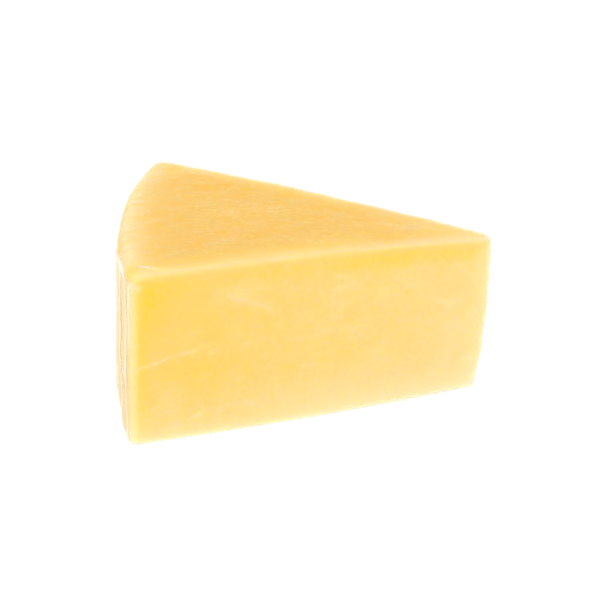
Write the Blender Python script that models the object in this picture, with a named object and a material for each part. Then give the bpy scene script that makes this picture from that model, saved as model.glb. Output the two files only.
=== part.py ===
"""A wedge of hard cheese, cut from a wheel and wrapped tight in clear film.

Metres, +Z up. The origin is on the resting face, in the middle of the wedge's box.
The tip points along +X and the rind is at -X. One cut face looks to -Y, the other to +Y.
The film clings all over, so the wrapped wedge is one solid.
"""
import math

import bmesh
import bpy

MM = 0.001

# Driving dimensions
CUT_LENGTH = 110.0 * MM  # from the sharp tip to either rind corner
TIP_ANGLE = math.radians(48.2)  # between the two cut faces
TIP_HEIGHT = 47.7 * MM
RIND_RISE = 2.8 * MM  # how much taller the wedge is at the rind
WHEEL_RADIUS = 163.7 * MM  # the wheel that the rind was part of

# Rounding of the upright edges
TIP_RADIUS = 1.9 * MM  # at the tip
NEAR_RADIUS = 2.6 * MM  # between the rind and the -Y cut face
FAR_RADIUS = 5.0 * MM  # between the rind and the +Y cut face

# Rounding of the level edges, as (round the top, round the resting face)
TIP_RIMS = (1.6 * MM, 1.0 * MM)
CUT_RIMS = (2.1 * MM, 1.5 * MM)
NEAR_RIMS = (2.3 * MM, 2.5 * MM)
FAR_RIMS = (3.8 * MM, 3.0 * MM)
RIND_RIMS = (5.0 * MM, 4.6 * MM)
RIM_BLEND = 0.22  # the share of the rind over which its rims grow from each corner

# How far the faces are from flat
TOP_CROWN = 1.4 * MM  # rise of the top halfway between tip and rind
NEAR_BOW = 1.6 * MM  # the -Y cut face swells outwards
FAR_BOW = -0.8 * MM  # the +Y cut face is slightly hollow
TIP_BELLY = 0.8 * MM  # the tip's upright edge stands out at half height
TIP_UNDERCUT = 1.2 * MM  # and draws back at the foot
TIP_REACH = 24.0 * MM  # how far behind the tip that shape fades out

# Fineness of the mesh
ARC_STEPS = 5  # facets round each upright edge
FACE_STEPS = 27  # facets along each cut face
RIND_STEPS = 24  # facets round the rind
RIM_STEPS = 4  # facets over each level edge
WALL_STEPS = 10  # facets up the wall, between the rims
TOP_SHRINKS = (0.86, 0.7, 0.52, 0.34, 0.17)  # rings on the top, as shares of its outline

HALF_ANGLE = TIP_ANGLE / 2
RIND_X = -CUT_LENGTH * math.cos(HALF_ANGLE)  # the rind corners, behind the tip
RIND_Y = CUT_LENGTH * math.sin(HALF_ANGLE)
WHEEL_X = RIND_X + math.sqrt(WHEEL_RADIUS**2 - RIND_Y**2)  # the wheel's middle, past the tip
FACE_TURN = math.pi / 2 - HALF_ANGLE  # the angle of the +Y cut face's outward normal


def mix(a, b, share):
    return a + (b - a) * share


def smooth_step(low, high, value):
    """0 up to low, 1 from high on, and a smooth rise between them."""
    t = min(max((value - low) / (high - low), 0.0), 1.0)
    return t * t * (3 - 2 * t)


def corner_centre(side, radius):
    """The middle of the arc that joins the rind to the cut face on this side, -1 or 1. It lies
    one radius inside that cut face's plane, and one radius inside the wheel."""
    along = (-math.cos(HALF_ANGLE), side * math.sin(HALF_ANGLE))
    inside = (-radius * math.sin(HALF_ANGLE) - WHEEL_X, -radius * side * math.cos(HALF_ANGLE))
    dot = along[0] * inside[0] + along[1] * inside[1]
    reach = -dot + math.sqrt(dot**2 - inside[0]**2 - inside[1]**2 + (WHEEL_RADIUS - radius)**2)
    return WHEEL_X + reach * along[0] + inside[0], reach * along[1] + inside[1]


def outline_stations():
    """The outline seen from above, anticlockwise from the tip. Each station is the middle of its
    arc (x, y), its distance from that middle, its upper and lower rim, and the angle of its
    outward normal."""
    tip = (-TIP_RADIUS / math.sin(HALF_ANGLE), 0.0, TIP_RADIUS)
    far = (*corner_centre(1, FAR_RADIUS), FAR_RADIUS)
    near = (*corner_centre(-1, NEAR_RADIUS), NEAR_RADIUS)
    wheel = (WHEEL_X, 0.0, WHEEL_RADIUS)
    full_turn = 2 * math.pi
    far_turn = math.atan2(far[1], far[0] - WHEEL_X)
    near_turn = full_turn + math.atan2(near[1], near[0] - WHEEL_X)
    near_face_turn = full_turn - FACE_TURN
    stretches = (
        ((*tip, *TIP_RIMS), (*tip, *TIP_RIMS), -FACE_TURN, FACE_TURN, ARC_STEPS),
        ((*tip, *TIP_RIMS), (*far, *CUT_RIMS), FACE_TURN, FACE_TURN, FACE_STEPS),
        ((*far, *CUT_RIMS), (*far, *FAR_RIMS), FACE_TURN, far_turn, ARC_STEPS),
        ((*wheel, *FAR_RIMS), (*wheel, *NEAR_RIMS), far_turn, near_turn, RIND_STEPS),
        ((*near, *NEAR_RIMS), (*near, *CUT_RIMS), near_turn, near_face_turn, ARC_STEPS),
        ((*near, *CUT_RIMS), (*tip, *TIP_RIMS), near_face_turn, near_face_turn, FACE_STEPS),
    )
    stations = []
    for start, end, start_turn, end_turn, steps in stretches:
        for i in range(steps):
            share = i / steps
            x, y, radius, upper, lower = (mix(a, b, share) for a, b in zip(start, end))
            if radius == WHEEL_RADIUS:
                grown = smooth_step(0.0, RIM_BLEND, min(share, 1 - share))
                upper = mix(upper, RIND_RIMS[0], grown)
                lower = mix(lower, RIND_RIMS[1], grown)
            stations.append((x, y, radius, upper, lower, mix(start_turn, end_turn, share)))
    return stations


def ring(rim_turn, share):
    """One loop of points round the wedge. Over the lower rim rim_turn goes from 0, on the resting
    face, to a quarter turn, on the wall. share goes up the wall, from 0 to 1, and from there a
    rim_turn past a quarter carries the loop over the upper rim."""
    points = []
    for x, y, radius, upper, lower, turn in outline_stations():
        rim = upper if share > 0.5 else lower
        reach = radius - rim * (1 - math.sin(rim_turn))
        z = mix(lower, TIP_HEIGHT - upper, share) - rim * math.cos(rim_turn)
        points.append((x + reach * math.cos(turn), y + reach * math.sin(turn), z))
    return points


def all_rings():
    """The rings in order, from the resting face's edge to the middle of the top."""
    quarter = math.pi / 2
    rings = [ring(quarter * i / RIM_STEPS, 0.0) for i in range(RIM_STEPS)]
    rings += [ring(quarter, i / WALL_STEPS) for i in range(WALL_STEPS)]
    rings += [ring(quarter * (1 + i / RIM_STEPS), 1.0) for i in range(RIM_STEPS + 1)]
    middle_x = 0.62 * RIND_X
    edge = rings[-1]
    for shrink in TOP_SHRINKS:
        rings.append([(mix(middle_x, x, shrink), y * shrink, z) for x, y, z in edge])
    return rings


def settle(x, y, z):
    """Takes a point of the flat-faced wedge to its place on the real, slightly uneven one."""
    back = min(max(x / RIND_X, 0.0), 1.2)  # 0 at the tip, 1 at the rind corners
    crown = 4 * back * max(1 - back, 0.0)
    level = z / TIP_HEIGHT
    half_width = max(-x * math.tan(HALF_ANGLE), TIP_RADIUS)
    side = min(max(y / half_width, -1.0), 1.0)  # -1 and 1 on the cut faces
    bow = -side * NEAR_BOW if side < 0 else side * FAR_BOW
    outward = -1 if side < 0 else 1
    edge = TIP_BELLY * 4 * level * (1 - level) - TIP_UNDERCUT * (1 - level) * (1 - 2 * level)
    fade = math.exp(-((x / TIP_REACH) ** 2))
    rise = RIND_RISE * back + TOP_CROWN * crown
    return x + edge * fade, y + outward * bow * crown, z + level * rise


def wedge_material():
    """Pale yellow cheese seen through glossy film."""
    material = bpy.data.materials.new("wrapped_cheese")
    material.use_nodes = True
    shader = material.node_tree.nodes["Principled BSDF"]
    shader.inputs["Base Color"].default_value = (1.0, 0.68, 0.2, 1.0)
    shader.inputs["Roughness"].default_value = 0.35
    shader.inputs["Metallic"].default_value = 0.0
    return material


def make_wedge(collection):
    """Draws the resting face, extrudes it ring by ring, and closes the top to a point."""
    rings = all_rings()
    bm = bmesh.new()
    resting_face = bm.faces.new([bm.verts.new(point) for point in rings[0]])
    lid = resting_face
    for points in rings[1:]:
        made = bmesh.ops.extrude_face_region(bm, geom=[lid])["geom"]
        if lid is not resting_face:
            bmesh.ops.delete(bm, geom=[lid], context="FACES_ONLY")
        lid = next(item for item in made if isinstance(item, bmesh.types.BMFace))
        for vertex, point in zip(lid.verts, points):
            vertex.co = point
    bmesh.ops.poke(bm, faces=[lid])
    for vertex in bm.verts:
        vertex.co = settle(*vertex.co)
    bmesh.ops.recalc_face_normals(bm, faces=bm.faces)
    xs = [vertex.co.x for vertex in bm.verts]
    ys = [vertex.co.y for vertex in bm.verts]
    middle = ((min(xs) + max(xs)) / 2, (min(ys) + max(ys)) / 2)
    bmesh.ops.translate(bm, verts=bm.verts, vec=(-middle[0], -middle[1], 0.0))
    mesh = bpy.data.meshes.new("cheese_wedge")
    bm.to_mesh(mesh)
    bm.free()
    mesh.materials.append(wedge_material())
    mesh.shade_smooth()
    wedge = bpy.data.objects.new("cheese_wedge", mesh)
    collection.objects.link(wedge)
    return wedge


def main():
    for old in list(bpy.data.objects):
        bpy.data.objects.remove(old, do_unlink=True)
    collection = bpy.data.collections.new("cheese_wedge")
    bpy.context.scene.collection.children.link(collection)
    make_wedge(collection)


main()
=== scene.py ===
"""A wedge of hard cheese in tight clear film: its surfaces and finishes, with floor, lights and camera.

Lengths are in millimetres until a mesh is made. Colours are linear.
"""
import math

import bpy
import numpy as np
from mathutils import Matrix, Vector


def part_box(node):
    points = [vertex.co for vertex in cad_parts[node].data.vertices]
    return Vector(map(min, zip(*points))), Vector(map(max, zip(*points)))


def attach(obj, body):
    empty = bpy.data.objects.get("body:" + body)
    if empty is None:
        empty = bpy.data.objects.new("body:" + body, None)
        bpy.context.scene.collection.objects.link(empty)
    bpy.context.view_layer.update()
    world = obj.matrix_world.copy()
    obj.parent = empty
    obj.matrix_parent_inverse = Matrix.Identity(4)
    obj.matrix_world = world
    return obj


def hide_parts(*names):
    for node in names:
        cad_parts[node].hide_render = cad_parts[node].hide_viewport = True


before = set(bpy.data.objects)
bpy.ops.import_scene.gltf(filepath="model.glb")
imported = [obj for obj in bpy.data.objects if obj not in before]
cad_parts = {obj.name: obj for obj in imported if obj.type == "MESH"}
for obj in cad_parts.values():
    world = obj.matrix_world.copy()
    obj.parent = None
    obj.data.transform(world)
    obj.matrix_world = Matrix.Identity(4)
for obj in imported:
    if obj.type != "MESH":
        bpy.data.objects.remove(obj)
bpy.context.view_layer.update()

MM = 0.001
QUARTER = math.pi / 2

# ---------------------------------------------------------------- the wedge's sizes, as the frame has them
CUT_LENGTH = 110.0  # from the sharp tip to either rind corner
TIP_ANGLE = math.radians(48.2)
TIP_HEIGHT = 47.7
RIND_RISE = 2.8  # how much taller the wedge is at the rind
WHEEL_RADIUS = 163.7
TIP_RADIUS, NEAR_RADIUS, FAR_RADIUS = 1.9, 2.6, 5.0  # the upright edges
TIP_RIMS, CUT_RIMS = (1.6, 1.0), (2.1, 1.5)  # the level edges, round the top and round the base
NEAR_RIMS, FAR_RIMS, RIND_RIMS = (2.3, 2.5), (3.8, 3.0), (5.0, 6.0)
RIM_BLEND = 0.22  # the share of the rind over which its rims grow from each corner
NEAR_BLEND = 0.5  # the same for the lower rim beside the -Y cut
TOP_CROWN, NEAR_BOW, FAR_BOW = 1.4, 1.6, -0.8
TIP_BELLY, TIP_UNDERCUT, TIP_REACH = 0.8, 1.2, 24.0
TIP_STRETCH = 0.45  # how far the tip stands out past the sizes above
TIP_DROOP, DROOP_REACH = 0.65, 14.0  # how far the top sinks towards the tip
TIP_DENT, DENT_HEIGHT, DENT_REACH = 0.3, 18.5, 4.0  # where the tip's edge draws back
RIND_DRAW, DRAW_HEIGHT, DRAW_REACH = 0.35, 8.0, 6.0  # where the lower rind draws in
SHOULDER_RISE, SHOULDER_Y, SHOULDER_REACH = 0.75, 22.0, 10.0  # where the rind's upper edge stands up
RIND_BAND = (-92.0, -102.0)  # the x over which those last two come in

HALF_ANGLE = TIP_ANGLE / 2
FACE_TURN = QUARTER - HALF_ANGLE  # the angle of the +Y cut face's outward normal
RIND_X = -CUT_LENGTH * math.cos(HALF_ANGLE)
RIND_Y = CUT_LENGTH * math.sin(HALF_ANGLE)
WHEEL_X = RIND_X + math.sqrt(WHEEL_RADIUS**2 - RIND_Y**2)
TIP_X = TIP_RADIUS - TIP_RADIUS / math.sin(HALF_ANGLE)
CAP_MIDDLE = 0.62 * RIND_X  # where the top's and the base's grid lines meet


def smooth_step(low, high, value):
    """0 up to low, 1 from high on, and 3t^2 - 2t^3 between them. It falls where high is below low."""
    t = np.clip((value - low) / (high - low), 0.0, 1.0)
    return t * t * (3 - 2 * t)


def mix(a, b, share):
    return a + (b - a) * share


def bell(value, middle, width):
    """exp(-((value - middle) / width)^2)."""
    return np.exp(-(((value - middle) / width) ** 2))


def edge_fade(gap, strength, reach, power=2.0):
    """strength * exp(-(gap / reach)^power), where gap is the way in from an edge, and 0 outside it."""
    return strength * np.exp(-((np.maximum(gap, 0.0) / reach) ** power))


def lies_on(gap):
    """1 up to a millimetre inside a side and 0 from 2.5 mm inside it."""
    return smooth_step(2.5, 1.0, gap)


# ---------------------------------------------------------------- surfaces
def corner_centre(side, radius):
    """The middle of the arc that joins the rind to the cut face on this side, -1 or 1."""
    along = np.array((-math.cos(HALF_ANGLE), side * math.sin(HALF_ANGLE)))
    out = np.array((math.sin(HALF_ANGLE), side * math.cos(HALF_ANGLE)))
    inside = -radius * out - (WHEEL_X, 0.0)
    dot = along @ inside
    reach = -dot + math.sqrt(dot**2 - inside @ inside + (WHEEL_RADIUS - radius) ** 2)
    return reach * along - radius * out


def outline(arc_steps, face_steps, rind_steps):
    """The wedge seen from above, anticlockwise from the tip, as six stretches: tip arc, +Y face, far
    arc, rind arc, near arc, -Y face. Each column is an arc's middle x and y, the distance from it,
    the upper and the lower rim, and the outward normal's angle. All six mix from start to end."""
    tip = (-TIP_RADIUS / math.sin(HALF_ANGLE), 0.0, TIP_RADIUS)
    far = (*corner_centre(1, FAR_RADIUS), FAR_RADIUS)
    near = (*corner_centre(-1, NEAR_RADIUS), NEAR_RADIUS)
    wheel = (WHEEL_X, 0.0, WHEEL_RADIUS)
    far_turn = math.atan2(far[1], far[0] - WHEEL_X)
    near_turn = 2 * math.pi + math.atan2(near[1], near[0] - WHEEL_X)
    near_face = 2 * math.pi - FACE_TURN
    stretches = (
        ((*tip, *TIP_RIMS, -FACE_TURN), (*tip, *TIP_RIMS, FACE_TURN), arc_steps),
        ((*tip, *TIP_RIMS, FACE_TURN), (*far, *CUT_RIMS, FACE_TURN), face_steps),
        ((*far, *CUT_RIMS, FACE_TURN), (*far, *FAR_RIMS, far_turn), arc_steps),
        ((*wheel, *FAR_RIMS, far_turn), (*wheel, *NEAR_RIMS, near_turn), rind_steps),
        ((*near, *NEAR_RIMS, near_turn), (*near, *CUT_RIMS, near_face), arc_steps),
        ((*near, *CUT_RIMS, near_face), (*tip, *TIP_RIMS, near_face), face_steps),
    )
    columns = []
    for start, end, steps in stretches:
        share = np.arange(steps)[:, None] / steps
        stretch = mix(np.array(start), np.array(end), share)
        if start[2] == WHEEL_RADIUS:
            upper = smooth_step(0.0, RIM_BLEND, np.minimum(share, 1 - share))
            lower = smooth_step(0.0, RIM_BLEND, share) * smooth_step(0.0, NEAR_BLEND, 1 - share)
            grown = np.concatenate([upper, lower], axis=1)
            stretch[:, 3:5] = mix(stretch[:, 3:5], np.array(RIND_RIMS), grown)
        columns.append(stretch)
    return np.concatenate(columns)


def profile(cap_steps, rim_steps, wall_steps, crowding=1.0):
    """The way up the wedge in rows of (rim turn, share of the wall, share of the cap's outline): out
    over the base, round the lower rim, up the wall, round the upper rim and in over the top. A cap's
    rows are at 1 - t^crowding for even steps of t from the rim, so they can lie closer near it."""
    cap = 1 - (np.arange(cap_steps, 0, -1) / (cap_steps + 1)) ** crowding
    turn = np.arange(rim_steps) / rim_steps * QUARTER
    wall = np.arange(wall_steps) / wall_steps
    base_rows = np.stack([0 * cap, 0 * cap, cap], 1)
    lower_rows = np.stack([turn, 0 * turn, 0 * turn + 1], 1)
    wall_rows = np.stack([0 * wall + QUARTER, wall, 0 * wall + 1], 1)
    upper_rows = np.stack([QUARTER + turn, 0 * turn + 1, 0 * turn + 1], 1)
    inward = np.concatenate([[1.0], cap[:0:-1]])
    top_rows = np.stack([0 * cap + 2 * QUARTER, 0 * cap + 1, inward], 1)
    return np.concatenate([base_rows, lower_rows, wall_rows, upper_rows, top_rows])


def flat_wedge(columns, rows):
    """Rows by columns of points on the wedge before it settles. A column leaves its arc's middle along
    its normal, less the rim's inset, and the cap rows shrink towards one point on the middle line."""
    x, y, radius, upper, lower, turn = columns.T
    rim_turn, wall, shrink = rows.T[..., None]
    rim = np.where(wall > 0.5, upper, lower)
    reach = radius - rim * (1 - np.sin(rim_turn))
    px = mix(CAP_MIDDLE, x + reach * np.cos(turn), shrink)
    py = (y + reach * np.sin(turn)) * shrink
    pz = mix(lower, TIP_HEIGHT - upper, wall) - rim * np.cos(rim_turn)
    return np.stack([px, py, pz], -1)


def settle(points):
    """The slight unevenness of the real wedge: taller towards the rind, crowned on top, the -Y cut
    face swollen and the +Y one hollow, the tip's edge bellied, dented and undercut, the top sunk a
    little towards the tip, most on the -Y side, the rind drawn in low down and its upper edge raised
    towards +Y."""
    x, y, z = np.moveaxis(points, -1, 0)
    back = np.clip(x / RIND_X, 0.0, 1.2)
    crown = 4 * back * np.maximum(1 - back, 0.0)
    level = z / TIP_HEIGHT
    side = np.clip(y / np.maximum(-x * math.tan(HALF_ANGLE), TIP_RADIUS), -1.0, 1.0)
    bow = np.where(side < 0, NEAR_BOW, FAR_BOW)
    edge = TIP_BELLY * 4 * level * (1 - level) - TIP_UNDERCUT * (1 - level) * (1 - 2 * level)
    edge -= TIP_DENT * bell(z, DENT_HEIGHT, DENT_REACH)
    fade = bell(x, 0.0, TIP_REACH)
    droop = TIP_DROOP * (1 - 0.5 * side) * bell(x, 0.0, DROOP_REACH)
    at_rind = smooth_step(*RIND_BAND, x)
    shoulder = SHOULDER_RISE * at_rind * bell(y, SHOULDER_Y, SHOULDER_REACH)
    rise = RIND_RISE * back + TOP_CROWN * crown - droop + shoulder
    inward = RIND_DRAW * at_rind * bell(z, DRAW_HEIGHT, DRAW_REACH)
    x = x + (TIP_STRETCH + edge) * fade + inward
    return np.stack([x, y + side * bow * crown, z + level * rise], -1)


def outward(points):
    """Unit normals: the cross product of the way along the outline and the way up the profile."""
    along = np.roll(points, -1, axis=1) - np.roll(points, 1, axis=1)
    up = np.gradient(points, axis=0)
    normal = np.cross(along, up)
    return normal / np.maximum(np.linalg.norm(normal, axis=-1, keepdims=True), 1e-9)


def soft_noise(points, wave, seed, waves=28):
    """A smooth random field of about unit size: plane waves of random direction and phase, each with a
    length within 40% of wave, added up and divided by the root of half their number."""
    rng = np.random.default_rng(seed)
    way = rng.normal(size=(waves, 3))
    way /= np.linalg.norm(way, axis=1, keepdims=True)
    way *= 2 * math.pi / (wave * rng.uniform(0.7, 1.4, (waves, 1)))
    phase = rng.uniform(0, 2 * math.pi, waves)
    total = np.zeros(points.shape[:-1])
    for k in range(waves):
        total += np.cos(points @ way[k] + phase[k])
    return total / math.sqrt(waves / 2)


def surface_lumps(settled, base):
    """Soft lumps all over, a tenth of a millimetre or so high, that fade out on the base."""
    lumps = 0.10 * soft_noise(settled, 26, 1) + 0.05 * soft_noise(settled, 8, 2)
    return lumps * smooth_step(0.0, 2.0, base)


def sides(points):
    """How far inside each side of the wedge the points lie: -Y cut, +Y cut, rind, top and base."""
    x, y, z = np.moveaxis(points, -1, 0)
    near = -x * math.sin(HALF_ANGLE) + y * math.cos(HALF_ANGLE)
    far = -x * math.sin(HALF_ANGLE) - y * math.cos(HALF_ANGLE)
    rind = WHEEL_RADIUS - np.hypot(x - WHEEL_X, y)
    top = TIP_HEIGHT - z
    return near, far, rind, top, z


def line(points, path, width):
    """exp(-(d / width)^2), where d is the distance from a path through the given places. The line
    thins out over the path's first and last quarter."""
    path = np.array(path, float)
    steps = np.diff(path, axis=0)
    lengths = np.linalg.norm(steps, axis=1)
    done = np.concatenate([[0.0], np.cumsum(lengths)]) / lengths.sum()
    strength = np.zeros(points.shape[:-1])
    close = np.all((points > path.min(0) - 4 * width) & (points < path.max(0) + 4 * width), axis=-1)
    spots = points[close]
    nearest = np.full(len(spots), np.inf)
    place = np.zeros(len(spots))
    for k, step in enumerate(steps):
        away = spots - path[k]
        share = np.clip(away @ step / lengths[k] ** 2, 0.0, 1.0)
        gap = np.linalg.norm(away - share[:, None] * step, axis=1)
        closer = gap < nearest
        nearest = np.where(closer, gap, nearest)
        place = np.where(closer, mix(done[k], done[k + 1], share), place)
    ends = smooth_step(-0.04, 0.25, place) * smooth_step(-0.04, 0.25, 1 - place)
    strength[close] = ends * np.exp(-((nearest / width) ** 2))
    return strength


def spots(u, v, places):
    """The sum of round patches, each strength * exp(-((u - u0) / reach_u)^2 - ((v - v0) / reach_v)^2)."""
    total = np.zeros(u.shape)
    for u_place, v_place, u_reach, v_reach, strength in places:
        total += strength * np.exp(-(((u - u_place) / u_reach) ** 2) - ((v - v_place) / v_reach) ** 2)
    return total


def on_cut(side, along, height):
    """The place on a cut face, -1 or 1, this far from the sharp tip and this high."""
    return (-along * math.cos(HALF_ANGLE), side * along * math.sin(HALF_ANGLE), height)


def closed_mesh(name, points, fields):
    """One closed skin: quads between the rows, which join up round the wedge, and a fan to a single
    point at the middle of the base and of the top. fields are numbers kept at each point."""
    rows, columns = points.shape[:2]
    flat = points.reshape(-1, 3)
    poles = np.stack([points[0].mean(0), points[-1].mean(0)])
    verts = np.concatenate([flat, poles]) * MM
    index = np.arange(rows * columns).reshape(rows, columns)
    beside = np.roll(index, -1, axis=1)
    quads = np.stack([index[:-1], beside[:-1], beside[1:], index[1:]], -1).reshape(-1, 4)
    base_pole = np.full(columns, rows * columns)
    fans = np.concatenate([
        np.stack([base_pole, beside[0], index[0]], -1),
        np.stack([index[-1], beside[-1], base_pole + 1], -1),
    ])
    corners = np.concatenate([quads.ravel(), fans.ravel()])
    sizes = np.concatenate([np.full(len(quads), 4), np.full(len(fans), 3)])
    mesh = bpy.data.meshes.new(name)
    mesh.vertices.add(len(verts))
    mesh.vertices.foreach_set("co", verts.ravel())
    mesh.loops.add(len(corners))
    mesh.loops.foreach_set("vertex_index", corners)
    mesh.polygons.add(len(sizes))
    mesh.polygons.foreach_set("loop_start", np.cumsum(sizes) - sizes)
    mesh.polygons.foreach_set("loop_total", sizes)
    for label, values in fields.items():
        ends = [values[0].mean(), values[-1].mean()]
        data = mesh.attributes.new(label, "FLOAT", "POINT").data
        data.foreach_set("value", np.concatenate([values.ravel(), ends]).astype(np.float32))
    mesh.update()
    mesh.validate()
    mesh.shade_smooth()
    piece = bpy.data.objects.new(name, mesh)
    bpy.context.scene.collection.objects.link(piece)
    return piece


def into_frame(points, settled):
    """Moves points so that the settled wedge's box starts where the frame's wedge does."""
    low = np.array(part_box("cheese_wedge")[0]) / MM
    return points + (low - settled.reshape(-1, 3).min(0))


# ---------------------------------------------------------------- shader nodes
class Field:
    """A number that varies over a surface. Sums and products of fields add Math nodes."""

    def __init__(self, nodes, socket):
        self.nodes = nodes
        self.socket = socket

    def math(self, operation, first, second, clamp=False):
        settings = {"operation": operation, "use_clamp": clamp}
        return Field(self.nodes, self.nodes.add("Math", settings, {0: first, 1: second}).outputs[0])

    def __add__(self, other):
        return self.math("ADD", self, other)

    def __sub__(self, other):
        return self.math("SUBTRACT", self, other)

    def __rsub__(self, other):
        return self.math("SUBTRACT", other, self)

    def __mul__(self, other):
        return self.math("MULTIPLY", self, other)

    __radd__ = __add__
    __rmul__ = __mul__

    def clipped(self):
        """Held between 0 and 1."""
        return self.math("ADD", self, 0.0, clamp=True)

    def step(self, low, high):
        """0 up to low, 1 from high on, and smooth between."""
        settings = {"interpolation_type": "SMOOTHSTEP"}
        inputs = {"Value": self, "From Min": low, "From Max": high}
        return Field(self.nodes, self.nodes.add("MapRange", settings, inputs).outputs[0])


class Nodes:
    """The node tree of one new material."""

    def __init__(self, name):
        self.material = bpy.data.materials.new(name)
        self.material.use_nodes = True
        self.tree = self.material.node_tree
        self.tree.nodes.clear()
        self.output = self.add("OutputMaterial", {}, {})
        self.place = self.add("TexCoord", {}, {}).outputs["Object"]

    def add(self, kind, settings, inputs):
        """A node of this kind, with its settings and then its sockets given, as values or links."""
        node = self.tree.nodes.new("ShaderNode" + kind)
        for key, value in settings.items():
            setattr(node, key, value)
        for key, value in inputs.items():
            socket = node.inputs[key]
            if isinstance(value, Field):
                value = value.socket
            if isinstance(value, bpy.types.NodeSocket):
                self.tree.links.new(value, socket)
            else:
                socket.default_value = value
        return node

    def kept(self, label):
        """A field kept at the mesh's points."""
        return Field(self, self.add("Attribute", {"attribute_name": label}, {}).outputs["Fac"])

    def stretched(self, scale):
        """Object coordinates scaled along each axis. A scale below 1 draws a pattern out."""
        inputs = {"Vector": self.place, "Scale": scale}
        return self.add("Mapping", {"vector_type": "POINT"}, inputs).outputs[0]

    def noise(self, size_mm, detail=2.0, roughness=0.5, vector=None):
        """Cloudy noise about 0.5, with lumps of this size."""
        inputs = {
            "Vector": vector or self.place,
            "Scale": 1 / (size_mm * MM),
            "Detail": detail,
            "Roughness": roughness,
        }
        return Field(self, self.add("TexNoise", {}, inputs).outputs[0])

    def flecks(self, spacing_mm, radius, softness):
        """1 inside small dots about the points of a random lattice, 0 elsewhere."""
        inputs = {"Vector": self.place, "Scale": 1 / (spacing_mm * MM)}
        gap = Field(self, self.add("TexVoronoi", {}, inputs).outputs["Distance"])
        return 1 - gap.step(radius, radius + softness)

    def blend(self, share, first, second):
        """A colour between two, by a share that may vary."""
        inputs = {0: share, 6: first, 7: second}
        return self.add("Mix", {"data_type": "RGBA"}, inputs).outputs[2]

    def shader_mix(self, share, first, second):
        """A shader between two, by a share that may vary."""
        return self.add("MixShader", {}, {0: share, 1: first, 2: second}).outputs[0]

    def bump(self, height, distance_mm):
        """The normal of a surface raised by this height times this distance."""
        inputs = {"Height": height, "Distance": distance_mm * MM, "Strength": 1.0}
        return self.add("Bump", {}, inputs).outputs[0]

    def finish(self, shader):
        """The material, with this shader as its surface."""
        self.tree.links.new(shader, self.output.inputs["Surface"])
        return self.material


def rgb(red, green, blue):
    return (red, green, blue, 1.0)


# ---------------------------------------------------------------- cheese
CHEESE_INSET = 0.1  # how far the cheese lies inside the wedge's true surface
CUT_MIDDLE = rgb(0.98, 0.67, 0.160)
CUT_BLUSH = rgb(0.98, 0.67, 0.185)
CUT_PALE = rgb(0.99, 0.74, 0.37)
CUT_GOLD = rgb(0.98, 0.665, 0.040)
# Painted light: the pale edges of the cuts stand for the glow from the floor and through the thin cheese,
# and the pale line along the top's +Y edge for the film's glint.
EDGE_GLOW_PALE = rgb(1.0, 0.91, 0.59)
# Painted highlight: a cream band along the crest where the cuts meet the top.
CREST_HIGHLIGHT_CREAM = rgb(0.98, 0.73, 0.55)
CRUST_MIDDLE = rgb(0.88, 0.547, 0.084)
CRUST_DEEP = rgb(0.92, 0.52, 0.012)
CRUST_PALE = rgb(0.93, 0.68, 0.22)
CRUST_YELLOW = rgb(0.96, 0.66, 0.12)
TIP_CREAM = rgb(0.97, 0.70, 0.205)
RIND_TAN = rgb(0.90, 0.65, 0.18)
RIND_BROWN = rgb(0.86, 0.55, 0.11)

# Patches on the cut at -Y: middle (along the cut from the tip, up), reach each way, strength.
CUT_GOLDS = (
    (104.0, 40.0, 4.5, 8.0, 0.75),
    (97.0, 43.0, 8.0, 3.0, 0.35),
    (88.0, 31.0, 8.0, 8.0, 0.20),
    (106.3, 38.0, 2.2, 10.0, 0.45),
    (106.6, 23.0, 1.9, 12.0, 0.75),
    (106.6, 8.0, 1.8, 7.0, 0.50),
    (90.0, 19.0, 9.0, 5.0, 0.35),
    (70.0, 43.5, 12.0, 2.5, 0.28),
    (42.0, 43.0, 8.0, 2.7, 0.80),
    (29.0, 43.0, 8.0, 2.5, 0.75),
    (12.5, 43.0, 6.0, 2.5, 0.75),
    (47.0, 17.5, 10.0, 3.5, 0.25),
    (29.0, 33.5, 6.0, 1.8, 0.30),
)
CUT_PALES = (
    (13.0, 18.0, 8.0, 13.0, 0.25),
    (99.0, 11.0, 5.0, 6.0, 0.38),
    (49.5, 32.5, 2.5, 3.5, 0.30),
    (55.0, 8.0, 25.0, 5.0, 0.30),
    (76.0, 40.0, 6.0, 2.5, 0.32),
)
# Patches on the top: middle (x, y), reach each way, strength.
TOP_DEEPS = (
    (-80.5, 23.5, 6.0, 5.0, 0.75),
    (-65.5, 17.0, 6.0, 4.5, 0.60),
    (-46.0, 9.0, 6.0, 4.0, 0.80),
    (-91.0, -6.5, 3.5, 5.5, 0.50),
    (-60.0, -9.0, 7.0, 3.0, 0.45),
    (-50.0, -19.5, 5.0, 2.2, 0.70),
    (-31.0, 3.5, 4.5, 3.0, 0.40),
    (-100.3, -41.0, 2.4, 4.0, 0.80),
    (-95.0, 35.3, 4.5, 0.9, 1.00),
    (-87.0, 31.0, 4.0, 0.8, 0.70),
)
TOP_PALES = (
    (-77.0, 2.0, 6.0, 4.0, 0.50),
    (-65.0, 5.5, 6.0, 4.0, 0.60),
    (-50.0, -15.0, 5.0, 2.0, 0.60),
    (-40.0, -13.3, 5.0, 1.6, 0.60),
    (-31.5, -0.5, 3.0, 2.0, 0.60),
    (-95.0, 34.5, 8.0, 3.5, 0.60),
)
# Where the film lies clear on the top and its colour is at its plainest, in the same terms.
TOP_CLEAR = ((-95.0, 35.3, 4.5, 0.9, 1.0), (-100.3, -41.0, 2.2, 3.5, 0.9))


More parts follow.
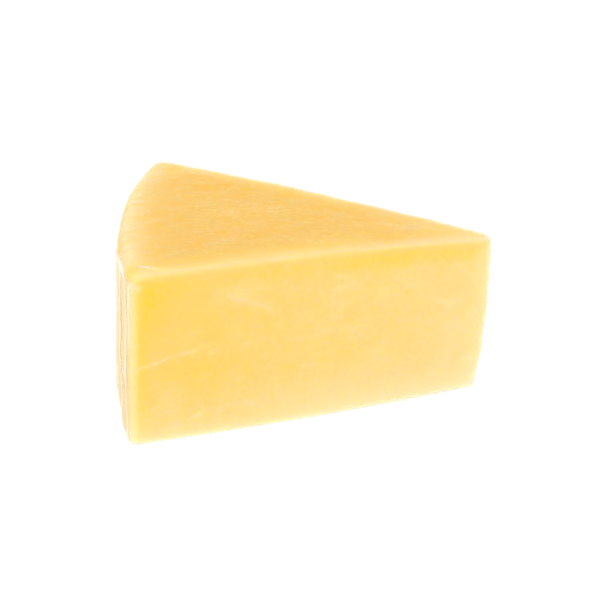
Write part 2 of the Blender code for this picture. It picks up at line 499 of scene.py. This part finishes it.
def cheese_material():
    """A waxy gold cut, deepest a few millimetres in from the rind and the top, and an orange crust with
    small pale flecks on the top, the base and the rind. The pale edges and the cream band along the crest
    are painted light: a glow from the floor and through the thin edges, and painted highlights."""
    nodes = Nodes("cheese")
    crust, rind_side, gold, pale, light_margin, rim, cut_side, tip_side = (
        nodes.kept(label)
        for label in ("crust", "rind_side", "gold", "pale", "light_margin", "rim", "cut_side", "tip_side")
    )
    broad = nodes.noise(20, 2.0)
    clouds = nodes.noise(6, 3.0)
    streaks = nodes.noise(2.6, 2.0, 0.5, nodes.stretched((0.62, 1.0, 1.0)))
    fine = nodes.noise(1.1, 3.0, 0.6, nodes.stretched((0.7, 1.0, 1.0)))
    mottle = nodes.noise(1.7, 3.0, 0.6)
    flecks = nodes.flecks(4.5, 0.08, 0.16)

    cut = nodes.blend((broad * 2.2 - 0.6).clipped(), CUT_MIDDLE, CUT_BLUSH)
    cut = nodes.blend((gold * (0.7 + clouds * 0.6)).clipped(), cut, CUT_GOLD)
    cut = nodes.blend((pale + (clouds - 0.5) * 0.5 + (mottle - 0.5) * 0.9).clipped(), cut, CUT_PALE)

    deep = gold + (clouds - 0.5) * 3.2 + (streaks - 0.5) * 2.8 + (fine - 0.5) * 1.8
    skin = nodes.blend(deep.clipped(), CRUST_MIDDLE, CRUST_DEEP)
    skin = nodes.blend((pale + (fine - 0.5) * 3.8).clipped() * 0.7 + flecks * 0.3, skin, CRUST_PALE)
    skin = nodes.blend((cut_side * (0.6 + clouds * 0.8)).clipped(), skin, CRUST_YELLOW)
    skin = nodes.blend((tip_side * (0.6 + clouds * 0.6)).clipped(), skin, TIP_CREAM)
    rind_skin = nodes.blend((clouds * 1.6 + fine - 1.0).clipped(), RIND_TAN, RIND_BROWN)
    skin = nodes.blend(rind_side, skin, rind_skin)

    colour = nodes.blend(crust, cut, skin)
    # Painted highlight along the crest.
    colour = nodes.blend(rim, colour, CREST_HIGHLIGHT_CREAM)
    # Painted light: pale edges for the glow from the floor and through the thin edges, and a glint along
    # the top's edges.
    colour = nodes.blend(light_margin, colour, EDGE_GLOW_PALE)
    relief = nodes.bump(fine * 0.5 + clouds * 0.5, 0.12)
    shader = nodes.add("BsdfPrincipled", {}, {
        "Base Color": colour,
        "Roughness": 0.5,
        "Normal": relief,
        "IOR": 1.45,
        "Specular IOR Level": 0.3,
        "Subsurface Weight": 1.0,
        "Subsurface Radius": (1.0, 0.6, 0.3),
        "Subsurface Scale": 2.5 * MM,
    })
    return nodes.finish(shader.outputs[0])


def tints(flat):
    """How far each point goes towards gold, pale, the pale margin of painted light (a glow along the
    cuts' foot and ends, and a painted glint along the top's edges), the painted highlight along the
    crest, the yellow of the top beside the cuts and the rind, the cream of the top near the tip, and the
    rind's tan: the patches listed above, fades from the edges, and on the far cut a soft noise in place
    of listed patches."""
    near, far, rind, top, base = sides(flat)
    cut = np.minimum(near, far)
    x, y, z = np.moveaxis(flat, -1, 0)
    along = -x / math.cos(HALF_ANGLE)
    on_near, on_far, on_cuts, on_top = (lies_on(gap) for gap in (near, far, cut, top))
    patchy = 0.5 + 0.5 * soft_noise(flat, 14, 7)

    bands = bell(top, 4.5, 3.0) + bell(rind, 4.5, 4.0)
    gold = on_near * spots(along, z, CUT_GOLDS)
    gold += on_far * bands * (0.2 + 0.5 * patchy)
    gold += on_top * spots(x, y, TOP_DEEPS)

    towards_tip = 0.5 * smooth_step(108, 10, along) * smooth_step(1.5, 8.0, top)
    pale = on_near * spots(along, z, CUT_PALES) + on_top * spots(x, y, TOP_PALES)
    # The fade towards the base of the cuts is painted light, the glow from the floor.
    pale += on_cuts * (towards_tip + edge_fade(base, 0.35, reach=9.0))
    pale += on_top * (edge_fade(rind, 0.7, reach=6.0) + edge_fade(far, 0.5, reach=3.0))

    # Painted light: the margin pales towards the foot and the ends of the cuts for the glow from the floor
    # and through the thin edges, and along the top's +Y edge and beside the rind for the film's glints.
    painted_foot_glow = edge_fade(base, 0.66, reach=2.9, power=1.0) + edge_fade(base, 0.50, reach=1.3)
    painted_end_glow = edge_fade(rind, 0.60, reach=2.3, power=1.6) + edge_fade(along, 0.43, reach=7.0)
    far_edge_glint = edge_fade(far - 1.25, 0.80, reach=1.2, power=1.0) * edge_fade(top, 1.0, reach=0.5)
    light_margin = on_cuts * (painted_foot_glow + smooth_step(0.5, 4.0, top) * painted_end_glow)
    light_margin += on_top * (far_edge_glint + edge_fade(rind, 0.35, reach=5.5))
    # Painted highlight: the cream band along the crest where the cuts meet the top.
    rim = edge_fade(cut, 0.40, reach=2.3) * edge_fade(top, 1.0, reach=1.3)
    clear = 1 - 0.9 * np.clip(on_top * spots(x, y, TOP_CLEAR), 0, 1)
    cut_side = on_top * edge_fade(cut, 1.0, reach=6.0) * smooth_step(25, 60, along)
    cut_side += on_top * edge_fade(rind, 0.6, reach=9.0) * (1 - cut_side)
    return {
        "gold": np.clip(gold, 0, 1),
        "pale": np.clip(pale * clear, 0, 1),
        "light_margin": np.clip(light_margin * clear, 0, 1),
        "rim": rim * clear,
        "cut_side": cut_side,
        "tip_side": on_top * bell(along, 0.0, 25.0),
        "rind_side": bell(rind, 0.0, 1.5) * smooth_step(0.5, 4.5, np.minimum(top, base + 2.0)),
    }


def make_cheese():
    """The cheese: the settled wedge, drawn in by CHEESE_INSET, with soft lumps all over."""
    columns = outline(arc_steps=8, face_steps=120, rind_steps=120)
    rows = profile(cap_steps=46, rim_steps=6, wall_steps=70)
    flat = flat_wedge(columns, rows)
    settled = settle(flat)
    normals = outward(settled)
    near, far, rind, top, base = sides(flat)
    lumps = surface_lumps(settled, base) - CHEESE_INSET
    crust = smooth_step(-0.4, 0.4, np.minimum(near, far) - np.minimum(np.minimum(rind, top), base))
    fields = {"crust": crust, **tints(flat)}
    points = into_frame(settled + normals * lumps[..., None], settled)
    piece = closed_mesh("cheese", points, fields)
    piece.data.materials.append(cheese_material())
    return piece


# ---------------------------------------------------------------- film
FILM_GAP = 0.06  # how far the film stands outside the wedge's true surface
FILM_GLOSS = 0.45  # the part of the mirrored light that is kept
# Haze is partly the real whitening of creased film and partly painted highlight on its creases, pleats and
# edges.
HAZE_AND_HIGHLIGHT_MOST = 0.8
# The white of the haze, which also serves as painted highlight.
VEIL_AND_HIGHLIGHT = rgb(1.0, 0.96, 0.84)  # the colour of the haze
FINE_PLEATS = 44
FULL_PLEATS_FROM = -16.0  # the bearing past which full-height pleats are random
SCATTERED_SIDES = ("far cut", "top", "base")
# Broad pleats across the rind: bearing, width, height, haze with painted highlight.
BROAD_PLEATS = ((-35.5, 0.8, 0.10, 0.10), (-23.5, 1.0, 0.16, 0.40))

# Creases on the cut at -Y: width, height, haze with painted highlight, and the path as (along the
# cut from the tip, up).
CUT_FOLDS = (
    (0.55, 0.16, 0.26, ((111.0, 21.0), (108.4, 21.7), (99.9, 23.5), (92.5, 25.0), (84.0, 26.2))),
    (0.45, 0.08, 0.12, ((90.8, 23.7), (87.9, 23.8), (83.0, 23.6))),
    (0.90, 0.14, 0.20, ((88.0, 41.6), (81.4, 38.7), (76.7, 37.0), (72.0, 35.1), (67.5, 31.5))),
    (0.50, 0.08, 0.12, ((80.0, 25.0), (71.6, 25.3), (67.0, 24.8))),
    (0.60, 0.12, 0.17, ((66.0, 24.2), (59.7, 24.5), (51.3, 24.8), (46.0, 24.5))),
    (0.60, 0.12, 0.16, ((99.5, 3.4), (95.6, 4.8), (90.1, 6.6), (88.8, 9.0))),
    (0.55, 0.13, 0.20, ((86.5, 6.0), (81.7, 7.9), (77.5, 9.0), (73.4, 7.2), (70.5, 3.9))),
    (0.50, 0.08, 0.12, ((83.5, 6.0), (77.2, 8.0))),
    (0.70, 0.12, 0.19, ((52.0, 42.0), (47.9, 39.7), (42.0, 37.0))),
    (0.55, 0.10, 0.15, ((53.5, 36.3), (48.4, 37.5), (42.0, 37.8))),
    (0.80, 0.12, 0.18, ((35.0, 39.6), (31.2, 37.0), (25.0, 35.0))),
    (0.50, 0.10, 0.13, ((39.0, 35.7), (32.3, 35.2), (25.0, 35.6))),
    (1.10, 0.08, 0.12, ((50.2, 34.5), (49.8, 30.2))),
    (0.50, 0.08, 0.12, ((58.0, 26.0), (48.5, 25.6))),
    (0.50, 0.10, 0.16, ((46.5, 25.2), (39.0, 24.4))),
    (0.50, 0.10, 0.16, ((45.6, 24.4), (42.0, 22.3), (38.7, 19.2))),
    (0.80, 0.10, 0.16, ((61.5, 17.2), (57.5, 15.8), (54.0, 15.0))),
    (1.00, 0.08, 0.08, ((21.5, 31.6), (16.0, 28.5), (13.6, 25.0), (12.4, 20.0), (12.0, 15.0))),
    (0.70, 0.07, 0.07, ((23.0, 31.6), (16.1, 29.1), (10.5, 31.0), (4.5, 31.0))),
    (0.70, 0.07, 0.08, ((20.5, 21.4), (14.5, 18.2), (12.0, 15.8))),
    (0.80, 0.10, 0.16, ((9.2, 13.6), (5.8, 8.5), (6.1, 3.2))),
    (0.70, 0.08, 0.14, ((33.0, 10.4), (29.0, 8.5))),
    (0.90, 0.08, 0.10, ((39.0, 17.0), (31.0, 13.2))),
)
# The same on the top, with the path as (x, y).
TOP_FOLDS = (
    (0.60, 0.10, 0.16, ((-29.0, -7.0), (-24.0, -0.8), (-20.5, 3.4), (-17.5, 2.0))),
    (0.50, 0.10, 0.12, ((-35.0, -6.8), (-27.5, -3.8), (-22.9, 2.5))),
    (1.20, 0.10, 0.10, ((-93.0, -33.5), (-83.9, -25.1), (-79.3, -21.3), (-72.0, -17.0))),
    (0.60, 0.10, 0.75, ((-100.0, -38.6), (-92.5, -39.4))),
    (0.60, 0.10, 0.15, ((-96.1, -40.4), (-88.0, -39.5))),
    (0.80, 0.10, 0.25, ((-92.0, 35.0), (-88.0, 32.0), (-84.0, 31.0))),
    (0.70, 0.10, 0.20, ((-86.0, 33.2), (-80.0, 29.0))),
)
# The edge of a tuck that runs down off the top at the corner of the rind and the -Y cut.
# The tuck's haze is partly a painted highlight along its edge.
TUCK_WIDTH, TUCK_HEIGHT, TUCK_HAZE_AND_HIGHLIGHT = 1.0, 0.12, 0.75
TUCK = (
    (-105.9, -8.0, 40.0), (-103.9, -28.0, 44.3), (-102.4, -36.8, 45.4), (-99.6, -43.6, 45.0),
    (-97.0, -44.0, 43.0),
)
TUCK_CLEARS = 0.9  # how much of the haze and the pleats is gone above the tuck
# Creases on the rind beside the -Y cut: width, height, haze with painted highlight, and the path as
# (x, y, z).
RIND_FOLDS = (
    (0.8, 0.04, 0.85, (
        (-102.2, -37.9, 52.0), (-101.8, -38.8, 36.0), (-101.6, -39.9, 24.0), (-101.4, -40.8, 12.0),
    )),
    (0.6, 0.04, 0.85, (
        (-101.9, -40.0, 54.0), (-101.5, -40.9, 36.0), (-101.4, -41.1, 24.0), (-101.3, -41.4, 12.0),
    )),
    (1.0, 0.05, 0.60, (
        (-101.4, -41.0, 22.0), (-101.2, -41.7, 10.0), (-100.6, -43.0, -3.0),
    )),
    (0.45, 0.02, 0.50, (
        (-100.5, -43.1, 54.0), (-100.5, -43.1, 38.0), (-100.5, -43.1, 25.0),
    )),
    (0.9, 0.04, 1.10, (
        (-104.1, -29.8, 54.0), (-104.0, -29.6, 36.0), (-103.9, -29.2, 24.0), (-103.9, -29.0, 15.0),
    )),
    (0.7, 0.04, 0.95, (
        (-103.9, -32.2, 50.0), (-103.8, -31.6, 36.0), (-103.8, -30.4, 24.0), (-103.9, -29.6, 16.0),
    )),
    (0.9, 0.04, 0.85, (
        (-103.9, -29.4, 22.0), (-103.6, -31.0, 13.0), (-103.4, -32.0, -1.0),
    )),
    (0.5, 0.06, 0.55, (
        (-104.2, -28.0, 19.6), (-102.6, -36.2, 17.8), (-100.9, -42.6, 15.4),
    )),
    (0.5, 0.06, 0.45, (
        (-100.8, -42.8, 24.4), (-102.4, -37.1, 18.4), (-103.7, -31.0, 12.0),
    )),
)


def film_material():
    """Clear glossy film: the Fresnel share mirrors, the rest lets light through, and haze, a whitish
    diffuse share, shows where the film is creased or stands off the cheese, and also stands in as painted
    highlights on its creases, pleats and edges. The film casts no shadow on the cheese, as haze sends
    most of its light on."""
    nodes = Nodes("clear_film")
    haze_and_highlight = nodes.kept("haze_and_highlight")
    upright = nodes.kept("upright")
    ripple = nodes.noise(2.4, 2.0, 0.5, nodes.stretched((1.0, 1.0, 0.5)))
    level_threads = nodes.noise(1.1, 2.0, 0.5, nodes.stretched((0.3, 1.0, 0.3)))
    upright_threads = nodes.noise(0.8, 2.0, 0.5, nodes.stretched((1.0, 1.0, 0.12)))
    threads = level_threads + upright * (upright_threads - level_threads)
    relief = nodes.bump(ripple, 0.035)
    clear = nodes.add("BsdfTransparent", {}, {"Color": rgb(0.995, 0.995, 0.99)}).outputs[0]
    gloss = {"Roughness": 0.12, "Normal": relief, "Color": rgb(1, 1, 1)}
    shine = nodes.add("BsdfGlossy", {}, gloss).outputs[0]
    veil_and_highlight = nodes.add("BsdfDiffuse", {}, {"Color": VEIL_AND_HIGHLIGHT}).outputs[0]
    fresnel = Field(nodes, nodes.add("Fresnel", {}, {"IOR": 1.5, "Normal": relief}).outputs[0])
    film = nodes.shader_mix((fresnel * FILM_GLOSS).clipped(), clear, shine)
    # Haze: a whitish diffuse share, partly a painted highlight.
    film = nodes.shader_mix((haze_and_highlight * (0.7 + threads * 0.6)).clipped(), film, veil_and_highlight)
    lamp_ray = nodes.add("LightPath", {}, {}).outputs["Is Shadow Ray"]
    return nodes.finish(nodes.shader_mix(lamp_ray, film, clear))


def scattered_folds(count, seed):
    """Short random creases for the sides that have few or none listed: a place, a heading near level, a
    length of 4 to 16 mm and a bend in the middle. They are half as strong on the top as elsewhere."""
    rng = np.random.default_rng(seed)
    folds = []
    for k in range(count):
        side = SCATTERED_SIDES[k % len(SCATTERED_SIDES)]
        length = rng.uniform(4, 16)
        heading = rng.normal(0.0, 0.35)
        along, across = rng.uniform(20, 92), rng.uniform(0.15, 0.85)
        bend = rng.normal(0.0, 0.12) * length
        width, height = rng.uniform(0.45, 0.9), rng.uniform(0.06, 0.14)
        path = []
        for step in (-0.5, 0.0, 0.5):
            u = along + step * length * math.cos(heading)
            v = step * length * math.sin(heading) + bend * (step == 0.0)
            if side == "far cut":
                path.append(on_cut(1, u, across * TIP_HEIGHT + v))
            else:
                y = (across - 0.5) * 1.4 * along * math.tan(HALF_ANGLE) + v
                path.append((-u * math.cos(HALF_ANGLE), y, TIP_HEIGHT * (side == "top")))
        strength = height * (0.35 if side == "top" else 0.7)
        folds.append((width, strength, strength, path))
    return folds


def rind_pleats(flat):
    """The film's pleats across the rind, as their relief and haze; the haze is partly a painted
    highlight on each pleat. A point's bearing is its distance round the wheel and its climb its distance
    up the rind, on over the top and down under the base. A pleat is height * exp(-(d / width)^2), d the
    difference in bearing from a line that leans and sways as it climbs, between the climbs where it
    starts and ends. The listed ones and those after them cross the whole rind, and so does one in three
    of the fine ones."""
    rng = np.random.default_rng(21)
    x, y, z = np.moveaxis(flat, -1, 0)
    rind = np.maximum(sides(flat)[2], 0.0)
    bearing = np.arctan2(y, WHEEL_X - x) * WHEEL_RADIUS
    climb = z + rind * np.where(z > TIP_HEIGHT / 2, 1.0, -1.0)
    pleats = [(*pleat, -6.0, TIP_HEIGHT + rng.uniform(0, 8)) for pleat in BROAD_PLEATS]
    middle = FULL_PLEATS_FROM
    while middle < RIND_Y:
        size = rng.uniform(0.4, 1.0)
        pleats.append((middle, 1.4 * size, 0.3 * size, 0.2 * size, -6.0, TIP_HEIGHT + rng.uniform(2, 10)))
        middle += rng.uniform(5, 13)
    for k in range(FINE_PLEATS):
        middle = (k + rng.uniform(0.1, 0.9)) / FINE_PLEATS * 2 * RIND_Y - RIND_Y
        width, height = rng.uniform(0.35, 0.8), rng.uniform(0.05, 0.15)
        start, end = -6.0, TIP_HEIGHT + rng.uniform(4, 15)
        if k % 3:
            start = rng.choice((-8.0, 12.0, 38.0, 44.0)) + rng.uniform(-4, 4)
            end = start + rng.uniform(8, 26)
        pleats.append((middle, width, height, 2.4 * height * rng.uniform(0.3, 1.0), start, end))
    relief = np.zeros(x.shape)
    haze_and_highlight = np.zeros(x.shape)
    for middle, width, height, cloud, start, end in pleats:
        lean, sway = rng.normal(0.0, 0.035), rng.uniform(0.05, 0.35)
        wave, phase = rng.uniform(30, 70), rng.uniform(0, 2 * math.pi)
        off = bearing - middle - lean * (climb - 24) - sway * np.sin(climb / wave * 2 * math.pi + phase)
        ends = smooth_step(start, start + 6, climb) * smooth_step(end, end - 7, climb)
        relief += height * ends * np.exp(-((off / width) ** 2))
        haze_and_highlight += cloud * ends * np.exp(-((off / (0.9 * width)) ** 2))
    return relief, haze_and_highlight


def creases(flat):
    """The relief and the haze of all creases but the pleats; the haze is partly a painted highlight on
    each crease. A crease is height * its line, and its haze is patchy with a faint skirt 2.6 times as
    wide. On the rind the haze is plain, with an upright grain, and ends below the top. The tuck is a line
    with no patches."""
    z = flat[..., 2]
    folds = [(w, h, c, [on_cut(-1, *spot) for spot in path]) for w, h, c, path in CUT_FOLDS]
    folds += [(w, h, c, [(*spot, TIP_HEIGHT) for spot in path]) for w, h, c, path in TOP_FOLDS]
    folds += scattered_folds(count=36, seed=11)
    patchy = 0.5 + 0.5 * np.clip(soft_noise(flat, 5.0, 12), -1, 1)
    relief = np.zeros(z.shape)
    haze_and_highlight = np.zeros(z.shape)
    for width, height, cloud, path in folds:
        stroke = line(flat, path, width)
        skirt = line(flat, path, 2.6 * width)
        relief += height * stroke
        haze_and_highlight += cloud * (stroke * (0.30 + 0.30 * patchy) + 0.2 * skirt * patchy)
    grain = np.clip(soft_noise(flat * (1.0, 1.0, 0.12), 1.6, 14), -1, 1)
    below_top = smooth_step(45.5, 43.5, z) * (0.75 + 0.35 * grain)
    for width, height, cloud, path in RIND_FOLDS:
        stroke = line(flat, path, width) * below_top
        relief += height * stroke
        haze_and_highlight += cloud * stroke
    tuck = line(flat, TUCK, TUCK_WIDTH)
    return relief + TUCK_HEIGHT * tuck, haze_and_highlight + TUCK_HAZE_AND_HIGHLIGHT * tuck


def above_tuck(flat):
    """1 above the tuck's edge at the corner of the rind and the -Y cut, 0 below it and elsewhere."""
    y, z = flat[..., 1], flat[..., 2]
    edge = np.array(TUCK)
    height = np.interp(-y, -edge[:, 1], edge[:, 2])
    return smooth_step(0.3, 1.5, z - height) * smooth_step(-15, -24, y)


def edge_haze_and_highlight(flat, settled):
    """The film's haze along its edges, where it is also painted light: streaks on the top beside the
    rind that are painted highlights on the film's wrinkles, a painted glow at the foot, most towards the
    tip, painted highlights at the corners between the rind and the cuts, a painted highlight along the
    crest round the cuts that comes and goes, a painted glint along the top's edge at +Y, and the tip."""
    near, far, rind, top, base = sides(flat)
    x = flat[..., 0]
    streaky = np.clip(soft_noise(flat * (0.22, 1.0, 0.22), 3.2, 6), -1.5, 1.5)
    # Painted highlights, partly haze: streaks on the top beside the rind where the film's wrinkles catch
    # the light.
    light_margin = edge_fade(rind - 1.0, 1.0, reach=5.5, power=1.5) * (1 + 0.42 * streaky)
    haze_and_highlight = light_margin * smooth_step(4, 12, near) * (0.05 + 0.13 * smooth_step(0.5, 3.0, rind))
    # Painted glow at the foot, partly haze, standing for the light from the floor.
    foot_glow_haze = edge_fade(base, 0.17, reach=1.8, power=1.0) + edge_fade(base, 0.32, reach=0.8)
    haze_and_highlight += foot_glow_haze * (1 + 1.4 * smooth_step(-60, -15, x))

    rim = np.maximum(np.minimum(near, far), 0.0)
    # Painted highlight, partly haze, at the corners between the rind and the cuts.
    corner = edge_fade(rind, 0.30, reach=1.1, power=1.0) * edge_fade(rim, 1.0, reach=2.0)
    haze_and_highlight += corner * (1 - TUCK_CLEARS * above_tuck(flat))
    # Painted highlight: a pale line along the crest round the cuts.
    comes = 1 + 0.3 * np.clip(soft_noise(settled, 18, 8), -1, 1)
    from_rim = rim + top - 1.2
    crest_highlight_line = bell(top - rim, 0.0, 0.5) * bell(from_rim, 0.0, 0.9)
    haze_and_highlight += comes * (0.12 * crest_highlight_line + 0.03 * bell(from_rim, 0.0, 1.8))
    # Painted glint along the top's edge at +Y.
    haze_and_highlight += edge_fade(far - 1.2, 0.18, reach=1.6) * edge_fade(top, 1.0, reach=0.7)
    return haze_and_highlight + 0.28 * bell(x, TIP_X, 1.5)


def make_film():
    """The film: a skin just outside the wedge, with creases across its faces and upright pleats round
    the rind. The pleats stop at the cuts, are lowest on the top, and turn fainter on it."""
    columns = outline(arc_steps=10, face_steps=126, rind_steps=270)
    rows = profile(cap_steps=35, rim_steps=12, wall_steps=70, crowding=1.35)
    flat = flat_wedge(columns, rows)
    settled = settle(flat)
    normals = outward(settled)
    near, far, rind, top, base = sides(flat)

    relief, haze_and_highlight = creases(flat)
    ridges, strands = rind_pleats(flat)
    pleated = smooth_step(0.3, 3.5, np.minimum(near, far)) * (1 - TUCK_CLEARS * above_tuck(flat))
    taut = (1 - 0.6 * smooth_step(0.5, 3.0, rind)) * (1 - 0.95 * smooth_step(9.0, 4.0, top))
    relief += pleated * taut * ridges
    strands *= 0.8 + 0.3 * np.clip(soft_noise(flat, 25.0, 5), -1, 1)
    haze_and_highlight += pleated * strands * (1 - 0.8 * smooth_step(8.0, 3.0, top))
    haze_and_highlight += edge_haze_and_highlight(flat, settled)
    haze_and_highlight *= 1 - 0.8 * spots(flat[..., 0], flat[..., 1], TOP_CLEAR) * lies_on(top)

    stand_off = surface_lumps(settled, base) + relief + FILM_GAP
    skin = into_frame(settled, settled) + normals * stand_off[..., None]
    skin[..., 2] = np.maximum(skin[..., 2], 0.0)
    fields = {
        "haze_and_highlight": np.clip(haze_and_highlight, 0, HAZE_AND_HIGHLIGHT_MOST),
        "upright": smooth_step(2.0, 0.3, rind) * smooth_step(0.5, 4.0, top),
    }
    piece = closed_mesh("clear_film", skin, fields)
    piece.data.materials.append(film_material())
    return piece


# ---------------------------------------------------------------- floor, lights and camera
CAMERA_AIM = np.array((-0.58, 10.84, 20.74))
CAMERA_DISTANCE = 554.2
CAMERA_YAW = math.radians(-0.97)
CAMERA_PITCH = math.radians(24.2)
CAMERA_ROLL = math.radians(2.48)
CAMERA_LENS = 114.0
FLOOR_SIZE, FLOOR_DROP = 8.0, 0.0002  # metres
SURROUND = 1.06  # the strength of the white all round
LAMP_AIM = (0.0, 0.0, 0.025)
# Square lamps: name, place and size in metres, and power in watts.
LAMPS = (("front", (0.95, -0.9, 1.0), 2.2, 5.4), ("left", (-1.3, -0.2, 1.1), 1.8, 3.4))


def make_floor():
    """A wide white plane just under the film, so bright that it shows almost no shadow."""
    bpy.ops.mesh.primitive_plane_add(size=FLOOR_SIZE, location=(0.0, 0.0, -FLOOR_DROP))
    floor = bpy.context.object
    floor.name = "floor"
    nodes = Nodes("floor")
    lit = nodes.add("BsdfPrincipled", {}, {
        "Base Color": rgb(0.1, 0.1, 0.1),
        "Roughness": 0.9,
        "Specular IOR Level": 0.0,
        "Emission Color": rgb(1, 1, 1),
        "Emission Strength": 1.0,
    })
    floor.data.materials.append(nodes.finish(lit.outputs[0]))


def softbox(name, place, size, power):
    """A square lamp of this size in metres, aimed at the wedge."""
    light = bpy.data.lights.new(name, "AREA")
    light.shape = "SQUARE"
    light.size = size
    light.energy = power
    lamp = bpy.data.objects.new(name, light)
    lamp.location = place
    way = np.array(LAMP_AIM) - place
    lamp.rotation_euler = Vector(way).to_track_quat("-Z", "Y").to_euler()
    bpy.context.scene.collection.objects.link(lamp)


def make_lights():
    """White all round, and the lamps."""
    world = bpy.data.worlds.new("white_tent")
    world.use_nodes = True
    background = world.node_tree.nodes["Background"]
    background.inputs["Color"].default_value = rgb(1, 1, 1)
    background.inputs["Strength"].default_value = SURROUND
    bpy.context.scene.world = world
    for name, place, size, power in LAMPS:
        softbox(name, place, size, power)


def make_camera():
    """Looks along +Y and down, turned by yaw about Z, pitch about the level and roll about the view."""
    camera = bpy.data.cameras.new("camera")
    camera.lens = CAMERA_LENS
    camera.sensor_width = 36.0
    camera.clip_end = 100.0
    eye = bpy.data.objects.new("camera", camera)
    turn = Matrix.Rotation(CAMERA_YAW, 4, "Z") @ Matrix.Rotation(QUARTER - CAMERA_PITCH, 4, "X")
    turn = turn @ Matrix.Rotation(CAMERA_ROLL, 4, "Z")
    back = turn.col[2].to_3d()
    place = Vector(CAMERA_AIM * MM) + back * CAMERA_DISTANCE * MM
    eye.matrix_world = Matrix.Translation(place) @ turn
    bpy.context.scene.collection.objects.link(eye)
    bpy.context.scene.camera = eye


bpy.context.scene.view_settings.view_transform = "Standard"
cheese = make_cheese()
film = make_film()
for piece in (cheese, film):
    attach(piece, "root")
    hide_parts("cheese_wedge")
make_floor()
make_lights()
make_camera()
